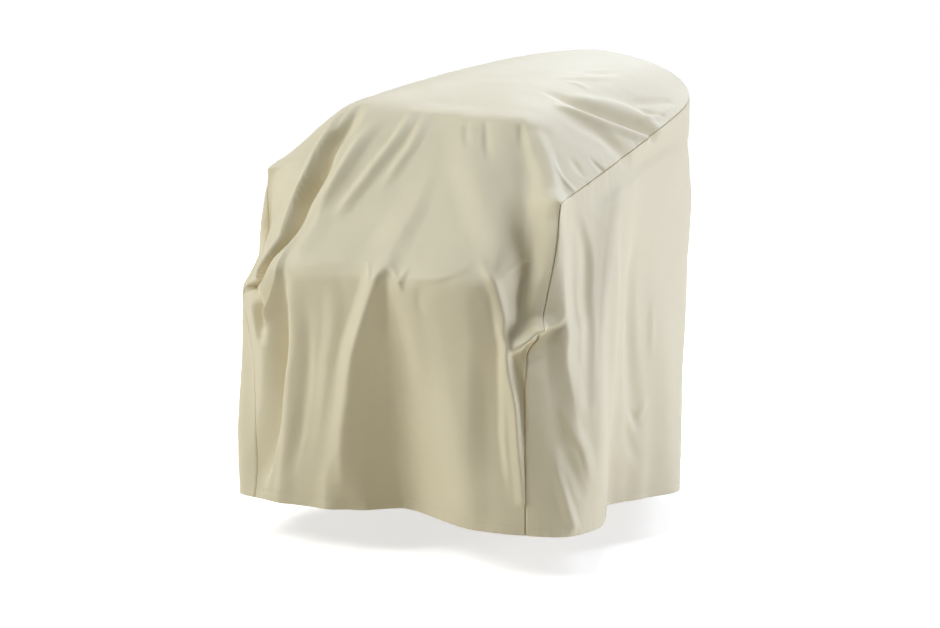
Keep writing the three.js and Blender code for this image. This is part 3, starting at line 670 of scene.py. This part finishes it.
def weaveGroup():
    group = bpy.data.node_groups.new("clothWeave", "ShaderNodeTree")
    face = group.interface
    colour = face.new_socket("Yarn Colour", in_out="INPUT", socket_type="NodeSocketColor")
    colour.default_value = (*clothLook["colour"], 1)
    for name in weaveSockets:
        number = face.new_socket(name, in_out="INPUT", socket_type="NodeSocketFloat")
        number.default_value = clothLook[weaveSockets[name]]
    face.new_socket("Colour", in_out="OUTPUT", socket_type="NodeSocketColor")
    face.new_socket("Height", in_out="OUTPUT", socket_type="NodeSocketFloat")
    nodes, links = group.nodes, group.links
    inside, outside = nodes.new("NodeGroupInput"), nodes.new("NodeGroupOutput")
    uv = nodes.new("ShaderNodeUVMap")
    uv.uv_map = "clothUv"
    split = nodes.new("ShaderNodeSeparateXYZ")
    links.new(uv.outputs[0], split.inputs[0])
    waves = []
    for axis in (0, 1):
        threads = maths(group, "MULTIPLY", split.outputs[axis], inside.outputs["Threads Per Metre"])
        waves.append(maths(group, "SINE", maths(group, "MULTIPLY", threads, math.pi)))
    links.new(maths(group, "MULTIPLY", *waves), outside.inputs["Height"])
    spots = nodes.new("ShaderNodeTexNoise")
    spots.inputs["Detail"].default_value = clothLook["mottleDetail"]
    links.new(uv.outputs[0], spots.inputs["Vector"])
    links.new(inside.outputs["Mottle Scale"], spots.inputs["Scale"])
    centred = maths(group, "SUBTRACT", spots.outputs["Fac"], clothLook["mottleMiddle"])
    amount = maths(group, "MULTIPLY_ADD", centred, inside.outputs["Mottle"], 1)
    tint = nodes.new("ShaderNodeVectorMath")
    tint.operation = "SCALE"
    links.new(inside.outputs["Yarn Colour"], tint.inputs[0])
    links.new(amount, tint.inputs["Scale"])
    links.new(tint.outputs[0], outside.inputs["Colour"])
    return group


def clothMaterial(weave):
    material = bpy.data.materials.new("beigeCoverCloth")
    material.use_nodes = True
    nodes, links = material.node_tree.nodes, material.node_tree.links
    shader = nodes["Principled BSDF"]
    shader.inputs["Roughness"].default_value = clothLook["roughness"]
    shader.inputs["Specular IOR Level"].default_value = clothLook["specular"]
    shader.inputs["Sheen Weight"].default_value = clothLook["sheen"]
    shader.inputs["Sheen Roughness"].default_value = clothLook["sheenRoughness"]
    group = nodes.new("ShaderNodeGroup")
    group.node_tree = weave
    group.inputs["Yarn Colour"].default_value = (*clothLook["colour"], 1)
    for name in weaveSockets:
        group.inputs[name].default_value = clothLook[weaveSockets[name]]
    bump = nodes.new("ShaderNodeBump")
    bump.inputs["Distance"].default_value = clothLook["weaveDepth"] * millimetre
    links.new(group.outputs["Height"], bump.inputs["Height"])
    links.new(bump.outputs["Normal"], shader.inputs["Normal"])
    links.new(group.outputs["Colour"], shader.inputs["Base Color"])
    return material


clothFinish = clothMaterial(weaveGroup())
for cloth, node in ((frontCloth, "top_front_panel"), (sideCloth, "side_back_panel")):
    cloth.data.materials.append(clothFinish)
    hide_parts(node)
    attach(cloth, "root")
print("cloth finished")


# sewing thread along the hem, in millimetres. bendAt is a share of a stitch, firstAt of the pitch
threadWork = {"pitch": 4.2, "stitch": 3.1, "radius": 0.22, "lift": 0.1, "sunk": -0.5, "bendAt": 0.25,
              "firstAt": 0.2, "sides": 5, "twistDepth": 0.03, "twistScale": 1000,
              # the two tones paint the twist's shade and highlight: darker in its grooves, lighter on
              # its crests
              "twistShadeTones": ((0.53, 0.49, 0.38), (0.69, 0.65, 0.53)), "roughness": 0.6}


def stitchRuns(name, runs):  # one small capsule for each stitch along each (points, normals) run
    verts, faces = [], []
    sides, w = threadWork["sides"], threadWork
    rings = ((0, w["sunk"]), (w["bendAt"], w["lift"]), (1 - w["bendAt"], w["lift"]), (1, w["sunk"]))
    for points, normals in runs:
        length = travelled(points[:, None], 0)[:, 0]
        count = int(length[-1] // w["pitch"])
        starts = (np.arange(count) + w["firstAt"]) * w["pitch"]
        for start in starts:
            ends = [np.array([np.interp(start + d, length, points[:, a]) for a in range(3)])
                    for d in (0, w["stitch"])]
            up = np.array([np.interp(start, length, normals[:, a]) for a in range(3)])
            way = unit(ends[1] - ends[0])
            across = unit(np.cross(way, up))
            base = len(verts)
            for share, lift in rings:
                middle = ends[0] + (ends[1] - ends[0]) * share + up * lift
                for k in range(sides):
                    turn = 2 * math.pi * k / sides
                    verts.append(middle + (across * math.cos(turn) + up * math.sin(turn)) * w["radius"])
            for ring in range(len(rings) - 1):
                for k in range(sides):
                    a, b = base + ring * sides + k, base + ring * sides + (k + 1) % sides
                    faces.append((a, b, b + sides, a + sides))
    return placed(name, smoothMesh(name, np.array(verts), faces))


def hemRow(grid):
    down = travelled(grid, 0)
    return int(np.argmin(np.abs((down[-1] - down).mean(1) - clothForm["hemHeight"])))


frontNormals, sideNormals = gridNormals(front), gridNormals(side)
frontHem, sideHem = hemRow(front), hemRow(side)
frontThread = stitchRuns("frontHemStitching", [(front[frontHem], frontNormals[frontHem])])
sideThread = stitchRuns("sideHemStitching", [(side[sideHem], sideNormals[sideHem])])


def threadMaterial():  # painted shade and highlight: the thread's colour darker in the twist's grooves and lighter on its crests
    material = bpy.data.materials.new("beigeThread")
    material.use_nodes = True
    nodes, links = material.node_tree.nodes, material.node_tree.links
    shader = nodes["Principled BSDF"]
    shader.inputs["Roughness"].default_value = threadWork["roughness"]
    place = nodes.new("ShaderNodeTexCoord")
    twist = nodes.new("ShaderNodeTexWave")
    twist.bands_direction = "DIAGONAL"
    twist.inputs["Scale"].default_value = threadWork["twistScale"]
    links.new(place.outputs["Object"], twist.inputs["Vector"])
    # painted shade and highlight along the twist: darker in the grooves, lighter on the crests
    twistShadeTones = nodes.new("ShaderNodeValToRGB")
    for stop, shadedTone in zip(twistShadeTones.color_ramp.elements, threadWork["twistShadeTones"]):
        stop.color = (*shadedTone, 1)
    links.new(twist.outputs["Fac"], twistShadeTones.inputs["Fac"])
    links.new(twistShadeTones.outputs["Color"], shader.inputs["Base Color"])
    bump = nodes.new("ShaderNodeBump")
    bump.inputs["Distance"].default_value = threadWork["twistDepth"] * millimetre
    links.new(twist.outputs["Fac"], bump.inputs["Height"])
    links.new(bump.outputs["Normal"], shader.inputs["Normal"])
    return material


threadFinish = threadMaterial()
for thread, cloth in ((frontThread, frontCloth), (sideThread, sideCloth)):
    thread.data.materials.append(threadFinish)
    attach(thread, "root")
print("stitched")


# plain pale floor and soft studio light, in metres, degrees and watts
studio = {"hemAboveFloor": 0.09, "floorSize": 60, "floorColour": (0.9, 0.85, 0.75),
          "floorRoughness": 0.9, "floorNear": 0.66, "floorFar": 1.0, "fadeFrom": 0.7, "fadeTo": 2.2,
          "around": 0.02, "aroundColour": (1, 0.88, 0.7), "white": (1, 1, 1, 1),
          "middle": (0, 0, -0.4), "lightDistance": 6.4, "lightSize": 3.2}
lights = {  # azimuth, elevation, power and colour
    "frontKey": (-43, 40, 240, (0.925, 0.965, 1.03)),
    "leftLow": (-65, 8, 60, (0.925, 0.965, 1.03)),
    "rightLow": (111, 7, 232, (0.89, 0.965, 1.2)),
    "rightBack": (150, 40, 135, (0.88, 0.965, 1.24)),
    "behind": (200, 40, 130, (0.9, 0.97, 1.12)),
    "above": (0, 88, 110, (0.9, 0.97, 1.12)),
}


def towards(azimuth, elevation):
    a, e = math.radians(azimuth), math.radians(elevation)
    return Vector((math.sin(a) * math.cos(e), -math.cos(a) * math.cos(e), math.sin(e)))


def stand(thing, middle, way, distance):  # stand a lamp or camera off to one side, looking at middle
    thing.location = Vector(middle) + way * distance
    thing.rotation_euler = (-way).to_track_quat("-Z", "Y").to_euler()


def softLight(name, azimuth, elevation, power, colour):
    lamp = bpy.data.lights.new(name, "AREA")
    lamp.shape = "DISK"
    lamp.size = studio["lightSize"]
    lamp.energy = power
    lamp.color = colour
    stand(placed(name, lamp), studio["middle"], towards(azimuth, elevation), studio["lightDistance"])


def floorMaterial():  # it fades into the white round it, and that glow lights nothing
    material = bpy.data.materials.new("paleFloor")
    material.use_nodes = True
    tree = material.node_tree
    shader = tree.nodes["Principled BSDF"]
    shader.inputs["Base Color"].default_value = (*studio["floorColour"], 1)
    shader.inputs["Roughness"].default_value = studio["floorRoughness"]
    shader.inputs["Specular IOR Level"].default_value = 0
    shader.inputs["Emission Color"].default_value = studio["white"]
    place = tree.nodes.new("ShaderNodeTexCoord")
    reach = tree.nodes.new("ShaderNodeVectorMath")
    reach.operation = "LENGTH"
    tree.links.new(place.outputs["Object"], reach.inputs[0])
    fade = tree.nodes.new("ShaderNodeMapRange")
    fade.interpolation_type = "SMOOTHSTEP"
    for name, value in (("From Min", studio["fadeFrom"]), ("From Max", studio["fadeTo"]),
                        ("To Min", studio["floorNear"]), ("To Max", studio["floorFar"])):
        fade.inputs[name].default_value = value
    tree.links.new(reach.outputs["Value"], fade.inputs["Value"])
    ray = tree.nodes.new("ShaderNodeLightPath")
    glow = maths(tree, "MULTIPLY", fade.outputs["Result"], ray.outputs["Is Camera Ray"])
    tree.links.new(glow, shader.inputs["Emission Strength"])
    return material


def paleFloor():
    half = studio["floorSize"] / 2
    corners = [(-half, -half, 0), (half, -half, 0), (half, half, 0), (-half, half, 0)]
    mesh = bpy.data.meshes.new("floor")
    mesh.from_pydata(corners, [], [(0, 1, 2, 3)])
    mesh.materials.append(floorMaterial())
    floor = placed("floor", mesh)
    floor.location.z = -cut["originHeight"] * millimetre - studio["hemAboveFloor"]


def whiteRound():  # a faint warm fill for the cloth, and plain white for the camera
    world = bpy.data.worlds.new("studio")
    world.use_nodes = True
    nodes, links = world.node_tree.nodes, world.node_tree.links
    fill = nodes["Background"]
    fill.inputs["Color"].default_value = (*studio["aroundColour"], 1)
    fill.inputs["Strength"].default_value = studio["around"]
    seen = nodes.new("ShaderNodeBackground")
    seen.inputs["Color"].default_value = studio["white"]
    seen.inputs["Strength"].default_value = 1
    ray = nodes.new("ShaderNodeLightPath")
    mix = nodes.new("ShaderNodeMixShader")
    links.new(ray.outputs["Is Camera Ray"], mix.inputs[0])
    links.new(fill.outputs[0], mix.inputs[1])
    links.new(seen.outputs[0], mix.inputs[2])
    links.new(mix.outputs[0], nodes["World Output"].inputs["Surface"])
    return world


for name in lights:
    softLight(name, *lights[name])
paleFloor()
scene = bpy.context.scene
scene.world = whiteRound()
scene.view_settings.view_transform = "Standard"
scene.view_settings.look = "None"
scene.view_settings.exposure = 0
print("studio lit")

# the photo's view
photoView = {"target": (0, -0.098, -0.468), "azimuth": 29, "elevation": 8.5, "distance": 4.175,
             "lens": 75, "sensor": 36}
camera = placed("camera", bpy.data.cameras.new("camera"))
camera.data.lens = photoView["lens"]
camera.data.sensor_width = photoView["sensor"]
stand(camera, photoView["target"], towards(photoView["azimuth"], photoView["elevation"]),
      photoView["distance"])
scene.camera = camera
print("camera set")
